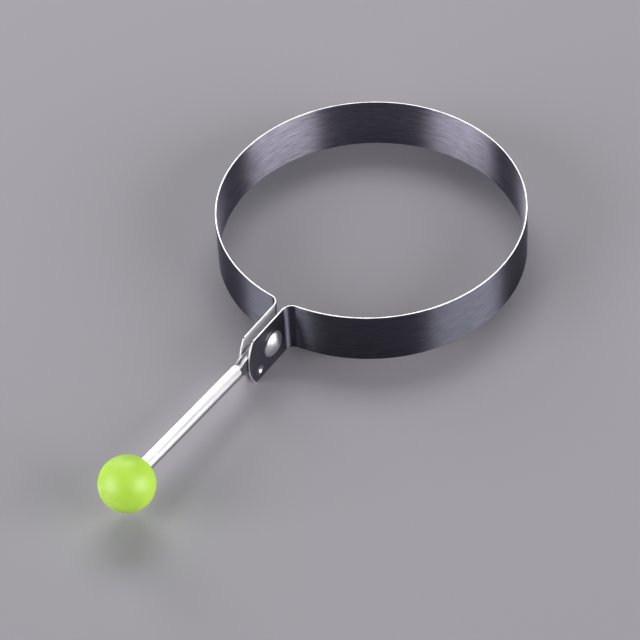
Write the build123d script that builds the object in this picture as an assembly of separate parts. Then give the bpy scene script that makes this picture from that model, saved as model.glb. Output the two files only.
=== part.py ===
from build123d import *
import os
from math import sqrt

# Egg ring with a folding handle.
# A hoop is bent from one strip of stainless steel, and the strip's two ends stand out as a pair of ears.
# A handle rolled from sheet is pressed flat at its root, goes between the ears and turns on one rivet.
# A plastic ball is pushed onto the handle's far end.
# Millimetres, Z up. The origin is the hoop's centre on the surface that it stands on.
# The handle is laid out along -Y, and the rivet's domed head looks along +X.

# Hoop
hoop_diameter = 90.0
strip_thickness = 0.5
strip_height = 16.4
bend_radius = 1.5
ear_reach = 17.2
ear_bulge = 2.7
ear_corner_radius = 0.7

# Stop dimples, pressed inward in both ears for the handle to rest on
dimple_diameter = 3.6
dimple_depth = 0.8
dimple_reach = 6.2

# Handle
handle_sheet = 0.45
stem_diameter = 4.0
tongue_thickness = 2.2
tongue_height = 8.0
tongue_length = 9.2
flare_length = 5.2
flat_length = 14.6
flat_run_out = 0.8
seam_gap = 0.12
seam_mouth = 0.55
handle_reach = 66.0
rest_rise = 3.4

# Ball
ball_diameter = 15.7
socket_depth = 10.0
socket_chamfer = 0.3

# Rivet
pivot_reach = 8.6
rivet_diameter = 3.0
head_diameter = 8.0
head_height = 1.8
head_rim = 0.35
head_bevel = 0.12
tail_diameter = 5.4
tail_height = 1.0
tail_bevel = 0.3

# Clearances
tongue_side_play = 0.125
pivot_play = 0.08
rivet_hole_play = 0.03
socket_play = 0.03
socket_end_play = 0.4
rest_play = 0.1

# How far a cutting body runs past what it cuts
overrun = 2.0

# Shares of the flare at which a section is drawn
flare_shares = (0.0, 0.5, 1.0)
# Shares of the tongue's half thickness at which its underside is tried against a dimple
rest_shares = (0.5, 0.6, 0.7, 0.8, 0.9, 1.0)

# Sizes that follow from those above
hoop_radius = hoop_diameter / 2
hoop_bore_radius = hoop_radius - strip_thickness
ear_gap = tongue_thickness + 2 * tongue_side_play
ear_inside = ear_gap / 2
ear_outside = ear_inside + strip_thickness
ear_corner_y = -(hoop_radius + ear_reach)
stem_radius = stem_diameter / 2
tongue_half_height = tongue_height / 2
flare_end = tongue_length + flare_length
ball_radius = ball_diameter / 2
pivot_y = -(hoop_radius + pivot_reach)
pivot_z = strip_height / 2
bump_radius = ((dimple_diameter / 2) ** 2 + dimple_depth**2) / (2 * dimple_depth)
bump_centre = ear_inside - dimple_depth + bump_radius

# Where the handle's own frame sits when it is down: the rivet's axis, tipped up by the rise
pivot = Pos(0, pivot_y, pivot_z)
handle_down = pivot * Rot(X=-rest_rise)
# Turns a round body so that its pole lies along the rivet, or along the handle
pole_along_rivet = Rot(Y=90)
pole_along_handle = Rot(X=90)


def along_handle(reach):
    """A drawing plane across the handle, at this reach outward from the rivet."""
    return Plane(origin=(0, -reach, 0), x_dir=(1, 0, 0), z_dir=(0, -1, 0))


def across_rivet(radius, length):
    """A round bar lying along the rivet's axis."""
    return pole_along_rivet * Cylinder(radius, length)


def tongue_underside(x):
    """How far the tongue's rounded underside lies below its centre line, this far from its middle plane."""
    fold_radius = tongue_thickness / 2
    return tongue_half_height - fold_radius + sqrt(fold_radius**2 - x**2)


def bump_top(x):
    """Half height of a dimple's bump where a plane at x cuts it, or nothing if it misses."""
    return sqrt(max(bump_radius**2 - (bump_centre - x) ** 2, 0))


def stop_drop():
    """How far a dimple's centre lies under the handle's centre line, so that the tongue rests on it."""
    tried = [share * tongue_thickness / 2 for share in rest_shares]
    return max(tongue_underside(x) + bump_top(x) for x in tried) + rest_play


def hoop_plan():
    """The strip seen from above: a split circle whose two ends turn outward side by side."""
    middle_radius = (hoop_radius + hoop_bore_radius) / 2
    ear_length = -(ear_corner_y - ear_bulge) - middle_radius + overrun
    ear_y = -middle_radius - ear_length / 2
    plan = Circle(hoop_radius) - Circle(hoop_bore_radius)
    plan -= Pos(0, -middle_radius) * Rectangle(ear_gap, 2 * bend_radius + strip_thickness)
    for side in (-1, 1):
        ear_x = side * (ear_inside + strip_thickness / 2)
        plan += Pos(ear_x, ear_y) * Rectangle(strip_thickness, ear_length)
    for side in (-1, 1):
        outer_corner = (side * ear_outside, -sqrt(hoop_radius**2 - ear_outside**2))
        plan = fillet(plan.vertices().sort_by_distance(outer_corner)[0], bend_radius)
        inner_corner = (side * ear_inside, -sqrt(hoop_bore_radius**2 - ear_inside**2))
        plan = fillet(plan.vertices().sort_by_distance(inner_corner)[0], bend_radius + strip_thickness)
    return plan


def hoop_side():
    """The blank seen from the side: its top and bottom edges, and the bowed end of an ear."""
    back_y = hoop_radius + overrun
    tip_y = ear_corner_y - ear_bulge
    edges = Polyline((ear_corner_y, 0), (back_y, 0), (back_y, strip_height), (ear_corner_y, strip_height))
    edges += ThreePointArc((ear_corner_y, strip_height), (tip_y, strip_height / 2), (ear_corner_y, 0))
    outline = make_face(edges)
    for corner_z in (0, strip_height):
        corner = outline.vertices().sort_by_distance((ear_corner_y, corner_z))[0]
        outline = fillet(corner, ear_corner_radius)
    return outline


def press_dimple(band, side):
    """Press one stop dimple into the ear on this side: a bump inside, a hollow of even thickness outside."""
    under_tongue = handle_down * Pos(0, -dimple_reach, -stop_drop())
    centre = under_tongue * Pos(X=side * bump_centre) * pole_along_rivet
    inside_ear = under_tongue * Pos(X=side * (ear_inside - dimple_depth / 2))
    bump = centre * Sphere(bump_radius)
    bump &= inside_ear * Box(dimple_depth, 2 * bump_radius, 2 * bump_radius)
    return band + bump - centre * Sphere(bump_radius - strip_thickness)


def ring_band():
    """The hoop with its ears, stop dimples and rivet holes."""
    band = extrude(hoop_plan(), strip_height)
    band &= extrude(Plane.YZ * hoop_side(), hoop_radius + overrun, both=True)
    for side in (-1, 1):
        band = press_dimple(band, side)
    band -= pivot * across_rivet(rivet_diameter / 2 + rivet_hole_play, 2 * (ear_outside + overrun))
    return band


def eased(start, end, share):
    """A size on its way from start to end, slow at both ends."""
    return start + (end - start) * share**2 * (3 - 2 * share)


def pressed_oval(half_width, half_height, crest_radius):
    """The handle's section where it is pressed: two flat cheeks joined over the top and the bottom by arcs."""
    shoulder = half_height - crest_radius + sqrt(crest_radius**2 - half_width**2)
    right = Line((half_width, -shoulder), (half_width, shoulder))
    top = ThreePointArc((half_width, shoulder), (0, half_height), (-half_width, shoulder))
    left = Line((-half_width, shoulder), (-half_width, -shoulder))
    bottom = ThreePointArc((-half_width, -shoulder), (0, -half_height), (half_width, -shoulder))
    return make_face(right + top + left + bottom)


def pressed_root(inset, inner_reach):
    """The flat tongue and the flare that leads it back to the height of the stem."""
    flat_half = tongue_thickness / 2 - inset
    ovals = []
    for share in flare_shares:
        half_height = eased(tongue_half_height, stem_radius, share) - inset
        crest_radius = eased(tongue_thickness / 2, stem_radius, share) - inset
        oval = pressed_oval(flat_half, half_height, crest_radius)
        ovals.append(along_handle(tongue_length + share * flare_length) * oval)
    tongue = along_handle(inner_reach) * pressed_oval(flat_half, tongue_half_height - inset, flat_half)
    return extrude(tongue, tongue_length - inner_reach) + loft(ovals)


def round_stem(inset, outer_reach):
    """The round stem, whose first stretch the dies have left with two flats that run out."""
    flat_half = tongue_thickness / 2 - inset
    half_width = stem_radius - inset
    run_out_slope = flat_run_out / (stem_radius - tongue_thickness / 2)
    beyond = half_width + overrun
    stem = extrude(along_handle(flare_end) * Circle(half_width), outer_reach - flare_end)
    half_plan = [
        (0, -flare_end),
        (flat_half, -flare_end),
        (flat_half, -flat_length),
        (beyond, -flat_length - run_out_slope * (beyond - flat_half)),
        (beyond, -outer_reach),
        (0, -outer_reach),
    ]
    plan = make_face(Polyline(*half_plan, close=True))
    plan += mirror(plan, Plane.YZ)
    return stem & extrude(plan, stem_diameter, both=True)


def handle_form(inset, inner_reach, outer_reach):
    """The handle's outside form, or with an inset the hollow inside its sheet."""
    return pressed_root(inset, inner_reach) + round_stem(inset, outer_reach)


def seam_cut(inner_reach, outer_reach):
    """The open seam along the top of the sheet, with the mouth where the flare pulls it apart."""
    mouth_end = flare_end - flat_run_out / 2
    seam = Pos(0, -(inner_reach + outer_reach) / 2) * Rectangle(seam_gap, outer_reach - inner_reach)
    mouth_points = [
        (0, -tongue_length),
        (seam_mouth / 2, -mouth_end),
        (-seam_mouth / 2, -mouth_end),
    ]
    seam += make_face(Polyline(*mouth_points, close=True))
    return extrude(seam, tongue_height)


def handle_stem():
    """The rolled handle: hollow, seamed along its top, flattened and rounded off about the rivet."""
    inner_reach = -tongue_half_height
    outer_reach = handle_reach - ball_radius + socket_depth - socket_end_play
    stem = handle_form(0, inner_reach, outer_reach)
    root_side = Circle(tongue_half_height)
    root_side += Pos(-outer_reach / 2, 0) * Rectangle(outer_reach, 2 * tongue_height)
    stem &= extrude(Plane.YZ * root_side, stem_diameter, both=True)
    stem -= handle_form(handle_sheet, inner_reach - overrun, outer_reach + overrun)
    stem -= seam_cut(inner_reach - overrun, outer_reach + overrun)
    stem -= across_rivet(rivet_diameter / 2 + pivot_play, stem_diameter)
    return handle_down * stem


def ball_knob():
    """The ball, with a blind socket for the stem."""
    face_reach = handle_reach - ball_radius
    socket_radius = stem_radius + socket_play
    mouth_reach = handle_reach - sqrt(ball_radius**2 - socket_radius**2)
    ball = Pos(0, -handle_reach, 0) * pole_along_handle * Sphere(ball_radius)
    ball -= extrude(along_handle(face_reach - overrun) * Circle(socket_radius), socket_depth + overrun)
    mouth = Cone(socket_radius + 2 * socket_chamfer, socket_radius, 2 * socket_chamfer)
    ball -= along_handle(mouth_reach).location * mouth
    return handle_down * ball


def dome_arc(base_x, base_radius, tip_x):
    """The dome's outline, from its base circle to its tip on the rivet's axis."""
    height = tip_x - base_x
    sphere_radius = (base_radius**2 + height**2) / (2 * height)
    halfway = base_radius / 2
    halfway_x = tip_x - sphere_radius + sqrt(sphere_radius**2 - halfway**2)
    return ThreePointArc((base_x, base_radius), (halfway_x, halfway), (tip_x, 0))


def pivot_rivet():
    """The rivet: a domed head on one ear, a shank through both, and a flat tail spread on the other."""
    shank_radius = rivet_diameter / 2
    head_radius = head_diameter / 2
    tail_radius = tail_diameter / 2
    tail_end = -(ear_outside + tail_height)
    tail_edge = (tail_end, tail_radius)
    head_edge = (ear_outside + head_rim, head_radius)
    head_tip = ear_outside + head_height
    sides = Polyline(
        (tail_end, 0),
        tail_edge,
        (-ear_outside, tail_radius),
        (-ear_outside, shank_radius),
        (ear_outside, shank_radius),
        (ear_outside, head_radius),
        head_edge,
    )
    outline = sides + dome_arc(*head_edge, head_tip) + Line((head_tip, 0), (tail_end, 0))
    profile = make_face(outline)
    for edge, bevel in ((tail_edge, tail_bevel), (head_edge, head_bevel)):
        profile = chamfer(profile.vertices().sort_by_distance(edge)[0], bevel)
    return pivot * revolve(profile, Axis.X)


makers = {
    "ring_band": ring_band,
    "pivot_rivet": pivot_rivet,
    "handle_stem": handle_stem,
    "ball_knob": ball_knob,
}

os.makedirs("parts", exist_ok=True)
for name, make in makers.items():
    piece = make()
    export_step(piece, f"parts/{name}.step")
    print(name, "solids", len(piece.solids()), "volume", round(piece.volume, 1))
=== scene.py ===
# %% [markdown]
# # An egg ring with a folding handle, dressed in Blender
#
# The real thing is four pieces. A strip of stainless steel is bent into a hoop, and its two ends stand out
# side by side as ears. A handle rolled from thin sheet is pressed flat at its root, sits between the ears and
# turns on one rivet. A plastic ball is pushed onto its far end. The sizes, the places and the joint come from
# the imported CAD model, so this script starts by loading it, and everything below is in metres in its frame.

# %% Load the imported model
from math import asin, atan2, cos, pi, radians, sin, sqrt

import bpy
from mathutils import Matrix, Vector


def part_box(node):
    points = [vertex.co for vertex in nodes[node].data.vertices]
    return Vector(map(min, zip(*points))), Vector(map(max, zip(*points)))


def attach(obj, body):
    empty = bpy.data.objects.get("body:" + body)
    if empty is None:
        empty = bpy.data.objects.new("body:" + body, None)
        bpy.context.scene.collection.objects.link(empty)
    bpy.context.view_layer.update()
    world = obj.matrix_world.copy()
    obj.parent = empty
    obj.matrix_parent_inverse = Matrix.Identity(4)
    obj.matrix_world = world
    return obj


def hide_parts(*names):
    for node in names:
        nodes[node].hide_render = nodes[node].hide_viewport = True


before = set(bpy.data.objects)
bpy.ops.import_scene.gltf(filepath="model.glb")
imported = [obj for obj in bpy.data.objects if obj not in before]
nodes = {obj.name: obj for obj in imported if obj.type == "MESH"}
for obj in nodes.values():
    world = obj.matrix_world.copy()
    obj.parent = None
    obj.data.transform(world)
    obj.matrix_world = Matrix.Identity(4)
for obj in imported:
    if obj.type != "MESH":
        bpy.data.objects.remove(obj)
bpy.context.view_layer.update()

MM = 0.001
for name, node in sorted(nodes.items()):
    low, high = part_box(name)
    print(name, [round((high[axis] - low[axis]) / MM, 1) for axis in range(3)], "mm")

# %% [markdown]
# ## The camera
#
# The photograph was taken with a long lens, so the hoop's front and back are nearly the same size. A camera
# fitted to the two rims of the hoop stands 0.87 m away, 46 degrees up and 36 degrees round from the handle
# towards the rivet's head. It leans over by 3.4 degrees. The picture's frame isn't centred on the hoop, and
# sliding the camera sideways in its own plane does that without any lens shift.

# %% Stand the camera where the photograph was taken
camera_azimuth = radians(36.15)
camera_height_angle = radians(45.94)
camera_roll = radians(3.42)
camera_distance = 874.35 * MM
camera_slide = Vector((-16.58 * MM, -20.41 * MM, 0))
lens_length = 168.75
sensor_width = 36
floor_half_width = 20.0

aim = Matrix.Rotation(camera_azimuth, 4, "Z") @ Matrix.Rotation(pi / 2 - camera_height_angle, 4, "X")
stand = aim @ Matrix.Translation(camera_slide + Vector((0, 0, camera_distance)))
camera_data = bpy.data.cameras.new("camera")
camera_data.lens = lens_length
camera_data.sensor_width = sensor_width
camera_data.clip_end = 2 * floor_half_width
camera = bpy.data.objects.new("camera", camera_data)
bpy.context.scene.collection.objects.link(camera)
camera.matrix_world = stand @ Matrix.Rotation(-camera_roll, 4, "Z")
bpy.context.scene.camera = camera
print("camera at", [round(value, 3) for value in camera.matrix_world.translation])

# %% [markdown]
# ## The studio
#
# Bright steel has hardly any colour of its own: it shows the room. So the room is made before the metal, and
# the photograph's reflections say where its lamps stood. Nodes are written out in code here, so the first cell
# gives short ways to add one, to join two, and to make a ramp of greys or colours.

# %% Short ways to write a node tree
def shader_tree(owner):
    """An empty node tree for a material or the world, with a short way to add and wire nodes."""
    owner.use_nodes = True
    owner.node_tree.nodes.clear()
    return owner.node_tree


def add(tree, kind, **settings):
    """A new node. Settings named after an input, with _ for a space, set that socket; others set the node."""
    node = tree.nodes.new(kind)
    for key, value in settings.items():
        socket = next((entry for entry in node.inputs if entry.name == key.replace("_", " ")), None)
        if socket is None:
            setattr(node, key, value)
        else:
            socket.default_value = value
    return node


def wire(tree, source, target):
    """Join an output to an input; both are given as (node, socket name or number)."""
    tree.links.new(source[0].outputs[source[1]], target[0].inputs[target[1]])


def ramp(tree, stops):
    """A colour ramp through (position, grey or colour) stops."""
    node = tree.nodes.new("ShaderNodeValToRGB")
    band = node.color_ramp
    while len(band.elements) < len(stops):
        band.elements.new(0.5)
    for element, (position, value) in zip(band.elements, stops):
        element.position = position
        colour = (value,) * 3 if isinstance(value, (int, float)) else value
        element.color = (*colour, 1)
    return node


# %% [markdown]
# ### The sky and the floor
#
# The sky could light the whole scene, but the dark bands on the hoop would fill up with its light. So it is
# dim, and only its top is a soft grey. The lamps light the floor near the ring and don't reach it farther out.
# There it goes over into a plain tone of its own, which the camera and the shiny metal see and which lights
# nothing, so a low view has a pale background too.

# %% The sky
sky = bpy.data.worlds.new("studio_sky")
bpy.context.scene.world = sky
tree = shader_tree(sky)
direction = add(tree, "ShaderNodeTexCoord")
parts = add(tree, "ShaderNodeSeparateXYZ")
height = add(tree, "ShaderNodeMapRange", From_Min=-1)
grade = ramp(tree, [(0.0, 0.01), (0.5, 0.02), (0.70, 0.05), (0.84, 0.3), (0.92, 0.8), (1.0, 1.0)])
glow = add(tree, "ShaderNodeBackground", Strength=0.12)
out = add(tree, "ShaderNodeOutputWorld")
wire(tree, (direction, "Generated"), (parts, 0))
wire(tree, (parts, "Z"), (height, "Value"))
wire(tree, (height, "Result"), (grade, "Fac"))
wire(tree, (grade, "Color"), (glow, "Color"))
wire(tree, (glow, 0), (out, 0))
print("sky:", len(grade.color_ramp.elements), "greys from straight down to straight up")

# %% The floor's material
lit_reach = 0.3
unlit_from = 1.0

floor_material = bpy.data.materials.new("pale_floor")
tree = shader_tree(floor_material)
lit = add(tree, "ShaderNodeBsdfPrincipled", Base_Color=(0.365, 0.352, 0.385, 1), Roughness=0.6)
backdrop = add(tree, "ShaderNodeEmission", Color=(0.385, 0.375, 0.405, 1))
point = add(tree, "ShaderNodeTexCoord")
away = add(tree, "ShaderNodeVectorMath", operation="LENGTH")
far = add(tree, "ShaderNodeMapRange", interpolation_type="SMOOTHSTEP", From_Min=lit_reach, From_Max=unlit_from)
rays = add(tree, "ShaderNodeLightPath")
seen = rays, "Is Camera Ray"
for kind in ("Is Glossy Ray", "Is Transmission Ray"):
    either = add(tree, "ShaderNodeMath", operation="MAXIMUM")
    wire(tree, seen, (either, 0))
    wire(tree, (rays, kind), (either, 1))
    seen = either, 0
share = add(tree, "ShaderNodeMath", operation="MULTIPLY")
mixed = add(tree, "ShaderNodeMixShader")
out = add(tree, "ShaderNodeOutputMaterial")
wire(tree, (point, "Object"), (away, 0))
wire(tree, (away, "Value"), (far, "Value"))
wire(tree, (far, "Result"), (share, 0))
wire(tree, seen, (share, 1))
wire(tree, (share, 0), (mixed, 0))
wire(tree, (lit, 0), (mixed, 1))
wire(tree, (backdrop, 0), (mixed, 2))
wire(tree, (mixed, 0), (out, 0))
print("floor lit out to", lit_reach, "m and plain from", unlit_from, "m")

# %% Lay the floor
floor_corners = [
    (x * floor_half_width, y * floor_half_width, 0) for x, y in ((-1, -1), (1, -1), (1, 1), (-1, 1))]
floor_mesh = bpy.data.meshes.new("floor")
floor_mesh.from_pydata(floor_corners, [], [(0, 1, 2, 3)])
floor_mesh.materials.append(floor_material)
floor = bpy.data.objects.new("floor", floor_mesh)
bpy.context.scene.collection.objects.link(floor)
print("floor:", 2 * floor_half_width, "m square")

# %% [markdown]
# ### The softboxes
#
# The rims lie flat, so they mirror what stands at the camera's own height on the far side, and the first box
# is there. It also whitens the top of the handle. The hoop's walls mirror the floor, but their brushed lines
# smear a reflection upright, so the two boxes at the sides show in them as bright bands. They stand low, since
# the smear weakens as it climbs. The gaps between the boxes are the dark bands. The mirror line of a wall leans
# as it climbs, so each side box is rolled to match, which gives its bands crisp edges. A small box behind on
# the left fills the neck of the handle.

# %% Softboxes
def softbox(name, azimuth, elevation, distance, width, height, radiance, lean, roll=0):
    """A soft rectangular lamp that looks at the ring's middle, or level if its lean is 0.

    Azimuth runs from the handle towards the rivet's head, and roll turns the lamp in its own plane."""
    data = bpy.data.lights.new(name, "AREA")
    data.shape = "RECTANGLE"
    data.size = width
    data.size_y = height
    data.energy = radiance * pi * width * height
    lamp = bpy.data.objects.new(name, data)
    bpy.context.scene.collection.objects.link(lamp)
    spot = Vector((0, -distance * cos(radians(elevation)), distance * sin(radians(elevation))))
    face = Matrix.Rotation(pi / 2 - radians(lean), 4, "X") @ Matrix.Rotation(radians(roll), 4, "Z")
    lamp.matrix_world = Matrix.Rotation(radians(azimuth), 4, "Z") @ Matrix.Translation(spot) @ face


# where it stands (degrees, degrees, metres), how wide and high, how bright, how it leans and rolls
softbox("softbox_behind", 214, 49, 1.15, 0.85, 0.48, 4.4, 49)
softbox("softbox_left", 327, 22, 1.2, 0.92, 0.80, 5.1, 0, 13)
softbox("softbox_right", 97, 22, 1.2, 1.08, 0.80, 5.4, 0, -13)
softbox("softbox_back_left", 247, 22, 1.2, 0.5, 0.5, 4.0, 22)

# %% [markdown]
# ## The strip
#
# The hoop is one strip of steel, 16.4 mm by 0.5 mm. It could be swept along its path as a ready-made band, but
# the ears have bowed ends, rounded corners, a rivet hole and a pressed dimple, and those are all cut or pressed
# into a flat blank. So it is made here as it is in the press shop: a flat blank first, with its edges tumbled
# round, then the dimples, and then every point is carried onto the bent path. Its sizes are the CAD model's,
# but for the two bends at the ears. They are rounder here, as the bands of light in the near one show.

# %% The strip's sizes
strip_height = 16.4 * MM
strip_thickness = 0.5 * MM
edge_round = 0.12 * MM
hoop_middle = 44.75 * MM
ear_middle = 1.475 * MM
bend_middle = 3.0 * MM
bend_centre = Vector((ear_middle + bend_middle, 0, 0))
bend_centre.y = -sqrt((hoop_middle + bend_middle) ** 2 - bend_centre.x ** 2)
bend_start = atan2(-bend_centre.y, -bend_centre.x)
hoop_run = hoop_middle * (pi - asin(bend_centre.x / (hoop_middle + bend_middle)))
bend_run = bend_middle * (pi - bend_start)
ear_start = hoop_run + bend_run
ear_tip_y = -64.9 * MM
ear_corner_y = -62.2 * MM
ear_corner_round = 0.7 * MM
pivot = Vector((0, -53.6 * MM, 8.2 * MM))
rivet_hole = 1.53 * MM
print("blank", round(2 * (ear_start + bend_centre.y - ear_tip_y) / MM, 1), "mm long")


# %% The bent path
def along_strip(run):
    """A point on the strip's middle line and the way out of the hoop there; run is 0 at the hoop's back."""
    side = -1 if run < 0 else 1
    run = abs(run)
    if run <= hoop_run:
        turn = run / hoop_middle
        outward = Vector((sin(turn), cos(turn), 0))
        point = outward * hoop_middle
    elif run <= ear_start:
        turn = bend_start + (run - hoop_run) / bend_middle
        outward = -Vector((cos(turn), sin(turn), 0))
        point = bend_centre - outward * bend_middle
    else:
        outward = Vector((1, 0, 0))
        point = Vector((ear_middle, bend_centre.y - (run - ear_start), 0))
    return Vector((side * point.x, point.y, 0)), Vector((side * outward.x, outward.y, 0))


def run_at(y):
    """How far along the strip a place on an ear is, from its y."""
    return ear_start + bend_centre.y - y


# %% The ear's outline
half_height = strip_height / 2
bow_radius = (half_height ** 2 + (ear_corner_y - ear_tip_y) ** 2) / (2 * (ear_corner_y - ear_tip_y))
bow_centre = Vector((run_at(ear_tip_y + bow_radius), half_height))
corner_reach = sqrt((bow_radius - ear_corner_round) ** 2 - (half_height - ear_corner_round) ** 2)
corner_run = bow_centre.x + corner_reach


def ear_end(z):
    """Where the flat part of an ear ends at this height, and which way its edge looks."""
    low = min(z, strip_height - z)
    up = 1 if z > half_height else -1
    inner_round = ear_corner_round - edge_round
    rise = (ear_corner_round - low) / inner_round
    join = (half_height - ear_corner_round) / (bow_radius - ear_corner_round)
    if rise > join:
        rise = min(rise, 1)
        lean = sqrt(1 - rise ** 2)
        return corner_run + inner_round * lean, Vector((lean, up * rise))
    rise = (half_height - low) / (bow_radius - edge_round)
    lean = sqrt(1 - rise ** 2)
    return bow_centre.x + (bow_radius - edge_round) * lean, Vector((lean, up * rise))


print("ear corner at y", round((bend_centre.y - (corner_run - ear_start)) / MM, 2), "mm")

# %% [markdown]
# ### Cutting the blank
#
# The blank is a grid of rows along the strip and columns across it. The rows crowd where the ears' corners and
# dimples need them, and run the whole length of the strip. On each ear a square of cells is left out and
# its edge pulled onto a circle, which gives a clean round hole without a boolean. The last columns stand for
# shares of the way from a straight line to the bowed end. They are listed a tiny step apart and spread later.

# %% Rows and columns of the blank
cell = 0.4 * MM
fine_cell = 0.2 * MM
hoop_cell = 2.2 * MM
bend_cell = 0.26 * MM
dimple_y = -60.09 * MM
dimple_z = 3.5025 * MM
fine_rows_start = 0.6 * MM
dimple_rows_start = 1.4 * MM
hole_cells = 4
patch_cells = 6
lean_start = run_at(-61.0 * MM)
lean_columns = 12
lean_step = 1e-6


def stepped(start, end, step):
    """Evenly spaced values from start up to but without end, about one step apart."""
    count = max(1, round((end - start) / step))
    return [start + (end - start) * index / count for index in range(count)]


corner_angles = [radians(angle) for angle in (0.0, 18.36, 36.71, 55.07)]
corner_rows = [ear_corner_round - (ear_corner_round - edge_round) * cos(angle) for angle in corner_angles]
hole_rows = [pivot.z + index * cell for index in range(-patch_cells, patch_cells)]
rows = corner_rows + stepped(fine_rows_start, dimple_rows_start, cell)
rows += stepped(dimple_rows_start, hole_rows[0], fine_cell) + hole_rows
rows += stepped(pivot.z + patch_cells * cell, strip_height - fine_rows_start, cell)
rows += [strip_height - fine_rows_start] + [strip_height - z for z in reversed(corner_rows)]

hole_run = run_at(pivot.y)
half_columns = stepped(0, hoop_run, hoop_cell) + stepped(hoop_run, ear_start, bend_cell)
half_columns += stepped(ear_start, hole_run - patch_cells * cell, cell)
half_columns += [hole_run + index * cell for index in range(-patch_cells, patch_cells)]
half_columns += stepped(hole_run + patch_cells * cell, lean_start, fine_cell)
half_columns += [lean_start + index * lean_step for index in range(lean_columns + 1)]
columns = [-run for run in reversed(half_columns[1:])] + half_columns
print(len(columns), "columns by", len(rows), "rows")


# %% Place a grid point on the flat blank
def blank_point(run, z):
    """The flat place of a grid point: pulled round the hole, and leaned onto the bowed end."""
    side = -1 if run < 0 else 1
    run = abs(run)
    from_hole = Vector((run - hole_run, z - pivot.z))
    rings = max(abs(from_hole.x), abs(from_hole.y)) / cell
    if hole_cells - 0.1 < rings < patch_cells:
        share = (rings - hole_cells) / (patch_cells - hole_cells)
        from_hole = from_hole.normalized() * rivet_hole * (1 - share) + from_hole * share
        run, z = hole_run + from_hole.x, pivot.z + from_hole.y
    if run > lean_start - 0.001 * lean_step:
        share = (run - lean_start) / (lean_columns * lean_step)
        run = lean_start + (ear_end(z)[0] - lean_start) * share
    return Vector((side * run, z))


def in_hole(run, z):
    """True for the middle of a cell that is punched out for the rivet."""
    return max(abs(abs(run) - hole_run), abs(z - pivot.z)) < hole_cells * cell


# %% [markdown]
# ### Pressing the dimples
#
# Each ear has one stop dimple, pressed inward for the handle to rest on. A punch stretches the sheet over a
# small ball, so the hollow outside is a little smaller than the bump inside. Both are caps of a sphere, joined
# to the flat by a small radius that the smooth maximum below gives.

# %% The dimple's hollow and bump
hollow_radius = 1.925 * MM
bump_radius = 2.425 * MM
dimple_depth = 0.8 * MM
blend_width = 0.1 * MM


def pressed_in(run, z, ball_radius):
    """How far the punch has moved a face of the ear at this place."""
    away = (Vector((abs(run) - run_at(dimple_y), z - dimple_z))).length
    cap = sqrt(max(ball_radius ** 2 - away ** 2, 0)) - (ball_radius - dimple_depth)
    flat = -(ball_radius - dimple_depth)
    smooth = (cap + sqrt(cap ** 2 + blend_width ** 2)) / 2
    return smooth - (flat + sqrt(flat ** 2 + blend_width ** 2)) / 2


# %% [markdown]
# ### Thickening and bending
#
# The blank gets its two faces, half a thickness to each side, and the rounded edge between them is four rings
# of points that roll over from one face to the other. Bending is one step: each point's place along the strip
# picks a point and a direction on the path. Its texture coordinates stay those of the flat blank, in metres,
# so the brushed grain turns the corners with the metal as it does on the real one.

# %% Build the strip
def strip_mesh():
    """The bent strip as vertices, faces, flat coordinates, and the number of the first face on its edge."""
    points, flats, faces = [], [], []

    def put(flat, lift):
        """Add a point: flat is its place on the blank, and lift its distance out of the middle plane."""
        base, outward = along_strip(flat.x)
        points.append(Vector((base.x, base.y, flat.y)) + outward * lift)
        flats.append(flat)
        return len(points) - 1

    half_thickness = strip_thickness / 2
    outside, inside = {}, {}
    for i, run in enumerate(columns):
        for j, z in enumerate(rows):
            centre_ring = max(abs(abs(run) - hole_run), abs(z - pivot.z)) / cell
            if centre_ring < hole_cells - 0.1:
                continue
            flat = blank_point(run, z)
            outside[i, j] = put(flat, half_thickness - pressed_in(flat.x, flat.y, hollow_radius))
            inside[i, j] = put(flat, -half_thickness - pressed_in(flat.x, flat.y, bump_radius))
    last_i, last_j = len(columns) - 1, len(rows) - 1
    for i in range(last_i):
        for j in range(last_j):
            corners = [(i, j), (i + 1, j), (i + 1, j + 1), (i, j + 1)]
            middle = (columns[i] + columns[i + 1]) / 2, (rows[j] + rows[j + 1]) / 2
            if in_hole(*middle):
                continue
            faces.append([outside[corner] for corner in reversed(corners)])
            faces.append([inside[corner] for corner in corners])

    rim = [(i, 0) for i in range(last_i)] + [(last_i, j) for j in range(last_j)]
    rim += [(i, last_j) for i in range(last_i, 0, -1)] + [(0, j) for j in range(last_j, 0, -1)]
    rings = [[outside[place] for place in rim]]
    for angle in (30, 60, 90, 90, 60, 30):
        face_side = 1 if len(rings) <= 3 else -1
        ring = []
        for i, j in rim:
            flat = blank_point(columns[i], rows[j])
            if i in (0, last_i):
                look = ear_end(flat.y)[1]
                look = Vector((look.x if i else -look.x, look.y))
            else:
                look = Vector((0, 1 if j else -1))
            lift = half_thickness - edge_round * (1 - cos(radians(angle)))
            ring.append(put(flat + look * edge_round * sin(radians(angle)), face_side * lift))
        rings.append(ring)
    rings.append([inside[place] for place in rim])
    first_edge_face = len(faces)
    walls = list(zip(rings, rings[1:]))

    for side in (-1, 1):
        hole = []
        for index in range(8 * hole_cells):
            quarter, step = divmod(index, 2 * hole_cells)
            a, b = hole_cells, step - hole_cells
            for _ in range(quarter):
                a, b = -b, a
            hole.append((side * (hole_run + a * cell), pivot.z + b * cell))
        find = [(nearest(columns, run), nearest(rows, z)) for run, z in hole]
        order = find if side == 1 else find[::-1]
        walls.append(([inside[place] for place in order], [outside[place] for place in order]))
    for first, second in walls:
        for k in range(len(first)):
            after = (k + 1) % len(first)
            faces.append([first[k], first[after], second[after], second[k]])
    return points, flats, faces, first_edge_face


def nearest(values, wanted):
    """The index of the value closest to the one wanted."""
    return min(range(len(values)), key=lambda index: abs(values[index] - wanted))


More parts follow.
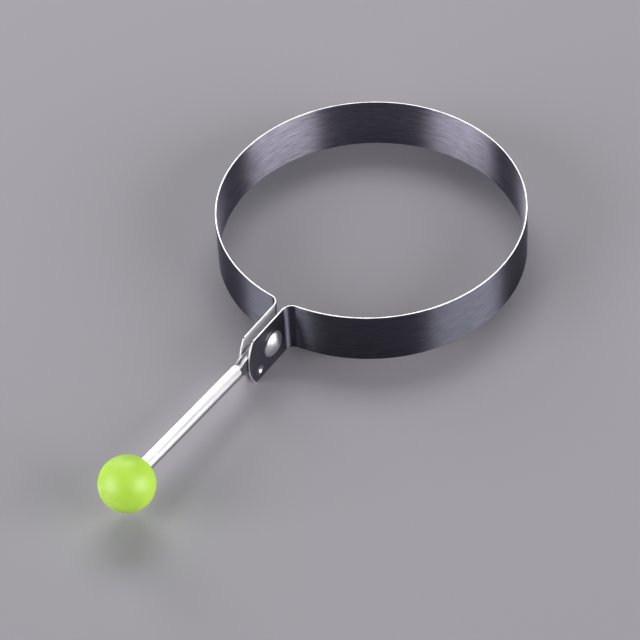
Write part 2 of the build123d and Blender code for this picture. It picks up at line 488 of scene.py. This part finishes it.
def mesh_object(name, points, faces, flats):
    """A smooth-shaded object, with the flat coordinates as its texture coordinates."""
    mesh = bpy.data.meshes.new(name)
    mesh.from_pydata(points, [], faces)
    mesh.validate()
    mesh.shade_smooth()
    lay = mesh.uv_layers.new(name="lay")
    for loop in mesh.loops:
        lay.data[loop.index].uv = flats[loop.vertex_index]
    made = bpy.data.objects.new(name, mesh)
    bpy.context.scene.collection.objects.link(made)
    return made


# %% Give each face its finish
dimple_finish_radius = 1.7 * MM
OUTSIDE, INSIDE, RIM, EAR_INSIDE, DIMPLE, EAR_OUTSIDE, EAR_END = range(7)

points, flats, faces, first_edge_face = strip_mesh()
strip = mesh_object("hoop_strip", points, faces, flats)
for face in strip.data.polygons:
    run, z = flats[face.vertices[0]]
    on_ear = abs(run) > ear_start
    if face.index >= first_edge_face:
        face.material_index = EAR_END if abs(run) > lean_start and abs(face.normal.y) > 0.5 else RIM
    elif face.index % 2:
        face.material_index = EAR_INSIDE if on_ear else INSIDE
    elif Vector((abs(run) - run_at(dimple_y), z - dimple_z)).length < dimple_finish_radius:
        face.material_index = DIMPLE
    else:
        face.material_index = EAR_OUTSIDE if on_ear else OUTSIDE
weigh = strip.modifiers.new("flat faces stay flat", "WEIGHTED_NORMAL")
weigh.weight = 100
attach(strip, "ring")
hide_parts("ring_band")
print("strip:", len(strip.data.polygons), "faces")

# %% [markdown]
# ## Steel
#
# All the steels here are one alloy. What differs is how each surface was left, and on the strip and the handle,
# where shade or light is painted into the colour. The strip comes off a belt grinder, so it carries fine lines
# along its length, and the handle is drawn through rolls, so its lines run from root to ball. Such lines spread
# a highlight across them, which is what anisotropy does in the shader. An image texture could carry the lines,
# but noise stretched out along the metal does it at any zoom. It shifts the shade, the roughness and the
# surface a little, at two or three sizes.


# %% Which way the lines run
rest_rise = radians(3.4)


def lay_lines(tree, surface, lay):
    """Set which way lines run, and so which way a highlight spreads.

    Returns the place on the surface that the lines' noise is read at."""
    if lay == "along the blank":
        tangent = add(tree, "ShaderNodeTangent", direction_type="UV_MAP", uv_map="lay")
        place = add(tree, "ShaderNodeUVMap", uv_map="lay"), "UV"
    else:
        axis = "X" if lay == "round the rivet" else "Y"
        tangent = add(tree, "ShaderNodeTangent", direction_type="RADIAL", axis=axis)
        place = add(tree, "ShaderNodeTexCoord"), "Object"
    if lay != "along the handle":
        surface.inputs["Anisotropic Rotation"].default_value = 0.25
    wire(tree, (tangent, 0), (surface, "Tangent"))
    if lay == "round the rivet":
        from_axis = add(tree, "ShaderNodeVectorMath", operation="SUBTRACT")
        from_axis.inputs[1].default_value = pivot
        flatten = add(tree, "ShaderNodeVectorMath", operation="MULTIPLY")
        flatten.inputs[1].default_value = (0, 1, 1)
        radius = add(tree, "ShaderNodeVectorMath", operation="LENGTH")
        ring = add(tree, "ShaderNodeCombineXYZ")
        wire(tree, place, (from_axis, 0))
        wire(tree, (from_axis, 0), (flatten, 0))
        wire(tree, (flatten, 0), (radius, 0))
        wire(tree, (radius, "Value"), (ring, "Y"))
        place = ring, 0
    return place


# %% [markdown]
# The handle's colour isn't one tone. Painted shade darkens the cheek of its pressed root on the rivet's head
# side, and its flanks against its top and bottom. It stands in for the dark reflections those faces show, as
# the steel itself is one bright finish all round. Both are places on the handle, so a point's position in the
# handle's own
# tilted frame gives them: how far sideways, how far from the rivet, and how high. The flanks' ramp runs up the
# handle: clear at its underside, dark halfway up and clear again at its top.

# %% Painted shade on the handle's cheek and flanks
cheek_starts_at = 1.08 * MM
cheek_length = 15.0 * MM
flank_reach = 2 * MM


def handle_painted_shade(tree, place, tone, surface):
    """Darken the colour of the cheek on the rivet's head side and of the flanks, as painted shade."""
    level = add(tree, "ShaderNodeMapping", vector_type="TEXTURE", Location=pivot, Rotation=(-rest_rise, 0, 0))
    parts = add(tree, "ShaderNodeSeparateXYZ")
    wire(tree, place, (level, 0))
    wire(tree, (level, 0), (parts, 0))
    # painted shade: the cheek on the rivet's head side, near the root, is darkened
    cheek = add(tree, "ShaderNodeMath", operation="GREATER_THAN")
    cheek.inputs[1].default_value = cheek_starts_at
    root = add(tree, "ShaderNodeMath", operation="GREATER_THAN")
    root.inputs[1].default_value = -cheek_length
    painted_cheek_shade = add(tree, "ShaderNodeMath", operation="MULTIPLY")
    wire(tree, (parts, "X"), (cheek, 0))
    wire(tree, (parts, "Y"), (root, 0))
    wire(tree, (cheek, 0), (painted_cheek_shade, 0))
    wire(tree, (root, 0), (painted_cheek_shade, 1))
    # painted shade: the flanks are darkened by a ramp up the handle
    level_height = add(tree, "ShaderNodeMapRange", From_Min=-flank_reach, From_Max=flank_reach)
    flank = ramp(tree, [(0.12, 0), (0.26, 0.85), (0.58, 0.85), (0.74, 0)])
    wire(tree, (parts, "Z"), (level_height, "Value"))
    wire(tree, (level_height, "Result"), (flank, "Fac"))
    darker = add(tree, "ShaderNodeMath", operation="MAXIMUM")
    shade = add(tree, "ShaderNodeMix", data_type="RGBA", blend_type="MULTIPLY")
    shade.inputs[7].default_value = (0.15, 0.15, 0.165, 1)
    wire(tree, (painted_cheek_shade, 0), (darker, 0))
    wire(tree, (flank, "Color"), (darker, 1))
    wire(tree, (darker, 0), (shade, 0))
    wire(tree, (tone, "Color"), (shade, 6))
    wire(tree, (shade, 2), (surface, "Base Color"))


# %% Steel with lines in it
def lined_steel(name, shade, swing, rough, spread, depth, lines, lay="along the blank"):
    """Brushed, drawn, turned or tumbled steel, as a material.

    Swing is how far the lines change the shade, spread how far they smear a highlight, and depth their bump.
    Each set of lines is given by its length and its width."""
    material = bpy.data.materials.new(name)
    tree = shader_tree(material)
    surface = add(tree, "ShaderNodeBsdfPrincipled", Metallic=1.0, Anisotropic=spread)
    out = add(tree, "ShaderNodeOutputMaterial")
    wire(tree, (surface, 0), (out, 0))
    place = lay_lines(tree, surface, lay)
    pattern = None
    for length, width in lines:
        fit = add(tree, "ShaderNodeMapping", vector_type="TEXTURE", Scale=(length, width, 1))
        if lay == "along the handle":
            fit.inputs["Rotation"].default_value = (-rest_rise, 0, 0)
            fit.inputs["Scale"].default_value = (width, length, width)
        noise = add(tree, "ShaderNodeTexNoise", Scale=1.0, Detail=2.0, Roughness=0.6)
        wire(tree, place, (fit, 0))
        wire(tree, (fit, 0), (noise, "Vector"))
        if pattern is None:
            pattern = noise, "Fac"
            continue
        both = add(tree, "ShaderNodeMix", data_type="FLOAT")
        wire(tree, pattern, (both, 2))
        wire(tree, (noise, "Fac"), (both, 3))
        pattern = both, 0
    dull = tuple((1 - swing) * value for value in shade)
    bright = tuple(min(1, (1 + swing) * value) for value in shade)
    tone = ramp(tree, [(0.36, dull), (0.64, bright)])
    wire(tree, pattern, (tone, "Fac"))
    wire(tree, (tone, "Color"), (surface, "Base Color"))
    # on the handle, painted shade darkens the cheek and the flanks
    if lay == "along the handle":
        handle_painted_shade(tree, place, tone, surface)
    smoothest, roughest = 0.85 * rough, 1.2 * rough
    gloss = add(
        tree, "ShaderNodeMapRange", From_Min=0.3, From_Max=0.7, To_Min=smoothest, To_Max=roughest)
    wire(tree, pattern, (gloss, "Value"))
    wire(tree, (gloss, "Result"), (surface, "Roughness"))
    bump = add(tree, "ShaderNodeBump", Strength=1.0, Distance=depth)
    wire(tree, pattern, (bump, "Height"))
    wire(tree, (bump, 0), (surface, "Normal"))
    return material


# %% [markdown]
# ### The strip's finishes
#
# One strip carries seven finishes. Its outside is a little smoother than its inside, and its shade is set
# darker, which is painted shade. The rims are tumbled bright. The ears are squeezed flat between tools, which
# smooths the brushing outside, where the shade is set dark too as painted shade, and leaves a dull face inside,
# whose pale shade is painted light. The punch burnishes the dimple, and the cut ends of the ears stay matt,
# though their near-white shade is a painted highlight.

# %% Finish the strip
belt_lines = [(14 * MM, 0.8 * MM), (7 * MM, 0.4 * MM), (4 * MM, 0.16 * MM)]
tumbled = [(3 * MM, 0.3 * MM)]
for finish in (
    # painted shade: the outside's shade is set darker than the inside's
    lined_steel("strip_outside_painted_shade", (0.150, 0.1475, 0.188), 0.3, 0.42, 1.0, 0.014 * MM, belt_lines),
    lined_steel("strip_inside", (0.312, 0.297, 0.366), 0.4, 0.45, 1.0, 0.03 * MM, belt_lines),
    lined_steel("strip_edge", (0.42, 0.42, 0.44), 0.2, 0.18, 0.0, 0.002 * MM, tumbled),
    # painted light: the ears' dull inside faces are given a pale shade
    lined_steel("ear_inside_painted_light", (0.84, 0.82, 0.85), 0.1, 0.62, 0.3, 0.004 * MM, tumbled),
    lined_steel("dimple_burnish", (0.40, 0.39, 0.43), 0.15, 0.14, 0.0, 0.001 * MM, tumbled),
    # painted shade: the ears' outside faces are given a dark shade
    lined_steel("ear_outside_painted_shade", (0.133, 0.130, 0.164), 0.35, 0.30, 0.7, 0.01 * MM, belt_lines),
    # painted highlight: the ears' matt cut ends are given a near-white shade
    lined_steel("ear_end", (0.97, 0.96, 0.98), 0.05, 0.65, 0.0, 0.002 * MM, tumbled),
):
    strip.data.materials.append(finish)

# %% [markdown]
# ### The handle's and the rivet's finishes
#
# The handle and the rivet keep their CAD shapes, which already have the seam, the pressed root and the domed
# head, and only get a material. The rivet's head is spun over, so it carries rings round its own axis. Reading
# the noise at nothing but the distance from that axis gives such rings.

# %% Finish the handle and the rivet
roll_lines = [(25 * MM, 0.5 * MM), (12 * MM, 0.18 * MM)]
# the handle's material carries painted shade on its cheek and flanks
nodes["handle_stem"].data.materials[0] = lined_steel(
    "handle_drawn_painted_shade", (0.86, 0.85, 0.88), 0.1, 0.42, 0.88, 0.002 * MM, roll_lines, "along the handle")
turned_rings = [(1, 0.35 * MM), (1, 0.15 * MM)]
nodes["pivot_rivet"].data.materials[0] = lined_steel(
    "rivet_turned", (0.86, 0.85, 0.88), 0.12, 0.36, 0.3, 0.004 * MM, turned_rings, "round the rivet")

# %% [markdown]
# ## Lime plastic
#
# The ball is moulded in one colour that goes all the way through. A moulding like this is never quite even: it
# is satin, a little cloudy where the plastic flowed, and it lets light in under the skin. Its free end has a
# few pale scuffs from lying in a drawer. They are the peaks of a noise that is stretched sideways, so they come
# out short and level, and they fade out away from the free end.


# %% The ball's plastic
ball_centre = Vector((0, -119.484, 12.114)) * MM
ball_radius = 7.85 * MM
free_end = Vector((-0.31, -0.93, -0.2)).normalized()


def lime_plastic():
    """Satin lime plastic with a cloudy shade, and a few fine scuffs round the ball's free end."""
    material = bpy.data.materials.new("lime_plastic")
    tree = shader_tree(material)
    surface = add(tree, "ShaderNodeBsdfPrincipled", Subsurface_Weight=0.2, Subsurface_Scale=1.5 * MM)
    surface.inputs["Subsurface Radius"].default_value = (0.8, 1.0, 0.3)
    surface.inputs["Specular IOR Level"].default_value = 1.0
    out = add(tree, "ShaderNodeOutputMaterial")
    wire(tree, (surface, 0), (out, 0))
    place = add(tree, "ShaderNodeTexCoord"), "Object"
    cloud = add(tree, "ShaderNodeTexNoise", Scale=150.0, Detail=3.0)
    shade = ramp(tree, [(0.35, (0.51, 0.84, 0.05)), (0.65, (0.57, 0.90, 0.075))])
    wire(tree, place, (cloud, "Vector"))
    wire(tree, (cloud, "Fac"), (shade, "Fac"))

    fit = add(tree, "ShaderNodeMapping", vector_type="TEXTURE", Scale=(3 * MM, 3 * MM, 0.4 * MM))
    fit.inputs["Rotation"].default_value = (0.25, 0.15, 0)
    streaks = add(tree, "ShaderNodeTexNoise", Scale=1.0, Detail=2.0, Distortion=0.3)
    peaks = ramp(tree, [(0.56, 0), (0.64, 1)])
    wire(tree, place, (fit, 0))
    wire(tree, (fit, 0), (streaks, "Vector"))
    wire(tree, (streaks, "Fac"), (peaks, "Fac"))
    from_centre = add(tree, "ShaderNodeVectorMath", operation="SUBTRACT")
    from_centre.inputs[1].default_value = ball_centre
    toward_end = add(tree, "ShaderNodeVectorMath", operation="DOT_PRODUCT")
    toward_end.inputs[1].default_value = free_end
    near_end = add(
        tree, "ShaderNodeMapRange", From_Min=0.72 * ball_radius, From_Max=0.93 * ball_radius, To_Max=1.0)
    wire(tree, place, (from_centre, 0))
    wire(tree, (from_centre, 0), (toward_end, 0))
    wire(tree, (toward_end, "Value"), (near_end, "Value"))
    scuff = add(tree, "ShaderNodeMath", operation="MULTIPLY")
    pale = add(tree, "ShaderNodeMix", data_type="RGBA")
    pale.inputs[7].default_value = (0.90, 1.0, 0.66, 1)
    gloss = add(tree, "ShaderNodeMapRange", To_Min=0.5, To_Max=0.65)
    wire(tree, (peaks, "Color"), (scuff, 0))
    wire(tree, (near_end, "Result"), (scuff, 1))
    wire(tree, (scuff, 0), (pale, 0))
    wire(tree, (shade, "Color"), (pale, 6))
    wire(tree, (pale, 2), (surface, "Base Color"))
    wire(tree, (scuff, 0), (gloss, "Value"))
    wire(tree, (gloss, "Result"), (surface, "Roughness"))
    bump = add(tree, "ShaderNodeBump", Strength=0.5, Distance=0.02 * MM)
    wire(tree, (cloud, "Fac"), (bump, "Height"))
    wire(tree, (bump, 0), (surface, "Normal"))
    return material


nodes["ball_knob"].data.materials[0] = lime_plastic()

# %% Colours as written
bpy.context.scene.view_settings.view_transform = "Standard"
